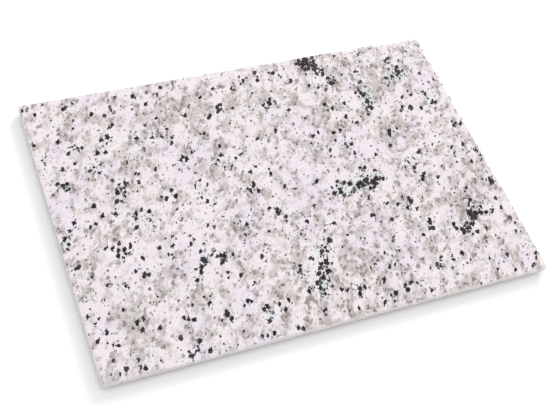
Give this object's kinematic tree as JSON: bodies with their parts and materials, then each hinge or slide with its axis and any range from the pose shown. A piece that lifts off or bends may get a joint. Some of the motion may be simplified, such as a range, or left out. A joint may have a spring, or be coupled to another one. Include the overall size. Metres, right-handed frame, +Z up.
{
  "type": "granite slab",
  "caption": "Thin rectangular granite slab with a polished speckled face, a mesh-reinforced back and low rubber feet, used as a hard flat work surface.",
  "frame": {"origin": "on the surface that the feet stand on, under the middle of the slab", "axes": "+X along the long side, +Y along the short side away from the front edge, +Z up out of the polished face"},
  "size_m": [0.36, 0.25, 0.008],
  "materials": {
    "granite": "satin",
    "resin_mesh": "satin",
    "adhesive": "matte",
    "foot_rubber": "matte"
  },
  "bodies": {
    "root": {"granite_slab": "granite", "mesh_backing": "resin_mesh", "adhesive_front_left": "adhesive", "adhesive_front_right": "adhesive", "adhesive_back_left": "adhesive", "adhesive_back_right": "adhesive", "foot_front_left": "foot_rubber", "foot_front_right": "foot_rubber", "foot_back_left": "foot_rubber", "foot_back_right": "foot_rubber"}
  },
  "joints": []
}
